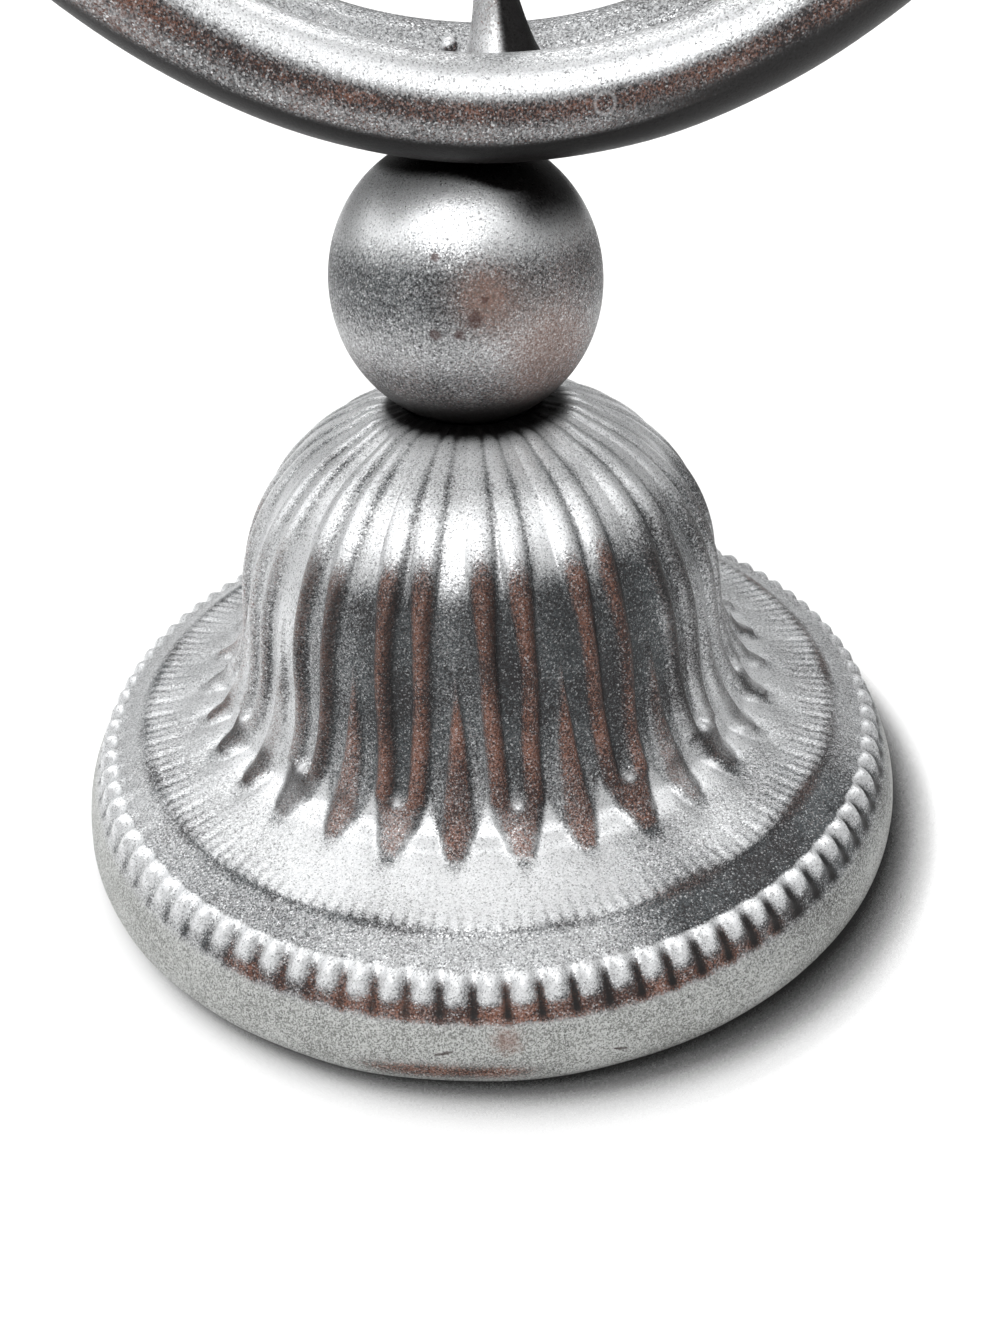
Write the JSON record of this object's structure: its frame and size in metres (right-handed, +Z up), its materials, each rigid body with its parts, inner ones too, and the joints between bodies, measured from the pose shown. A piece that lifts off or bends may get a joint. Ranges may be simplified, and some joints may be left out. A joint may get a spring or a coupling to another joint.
{
  "type": "candle holder",
  "caption": "Candle holder in the form of an upright coiled horn on a ball and a fluted bell foot, with the horn's flared mouth turned up round a cup for a taper candle.",
  "frame": {"origin": "centre of the foot pad's underside, on the surface that the holder stands on", "axes": "+Z up along the axis of foot, ball and candle cup; +X to the right as seen from the front; the coil's two turns lie side by side, parallel to the XZ plane, and its front faces -Y"},
  "size_m": [0.158, 0.111, 0.3073],
  "materials": {
    "foot_paint": "sprayed silver over a red-brown undercoat",
    "ball_paint": "sprayed silver",
    "bar_paint": "sprayed silver",
    "trim_paint": "sprayed silver",
    "bell_paint": "sprayed silver",
    "post_paint": "thin sprayed silver over dark weld",
    "plain_steel": "zinc plated",
    "felt": "felt"
  },
  "bodies": {
    "root": {"foot": "foot_paint", "foot_pad": "felt", "ball": "ball_paint", "tie_rod": "plain_steel", "tie_washer": "plain_steel", "tie_nut": "plain_steel", "coil_first_turn": "bar_paint", "coil_second_turn": "bar_paint", "coil_ferrule": "trim_paint", "lead_ferrule": "trim_paint", "neck_ferrule": "trim_paint", "bell_ferrule": "trim_paint", "lead_pipe": "bar_paint", "mouthpiece_receiver": "trim_paint", "mouthpiece": "trim_paint", "bell_neck": "bar_paint", "horn_bell": "bell_paint", "bell_rim": "bell_paint", "throat_plug": "plain_steel", "candle_cup": "trim_paint", "drip_pan": "bell_paint", "stay_post": "post_paint", "valve_drum_1": "trim_paint", "valve_cap_1": "trim_paint", "valve_back_1": "trim_paint", "valve_drum_2": "trim_paint", "valve_cap_2": "trim_paint", "valve_back_2": "trim_paint", "valve_drum_3": "trim_paint", "valve_cap_3": "trim_paint", "valve_back_3": "trim_paint"}
  },
  "joints": []
}
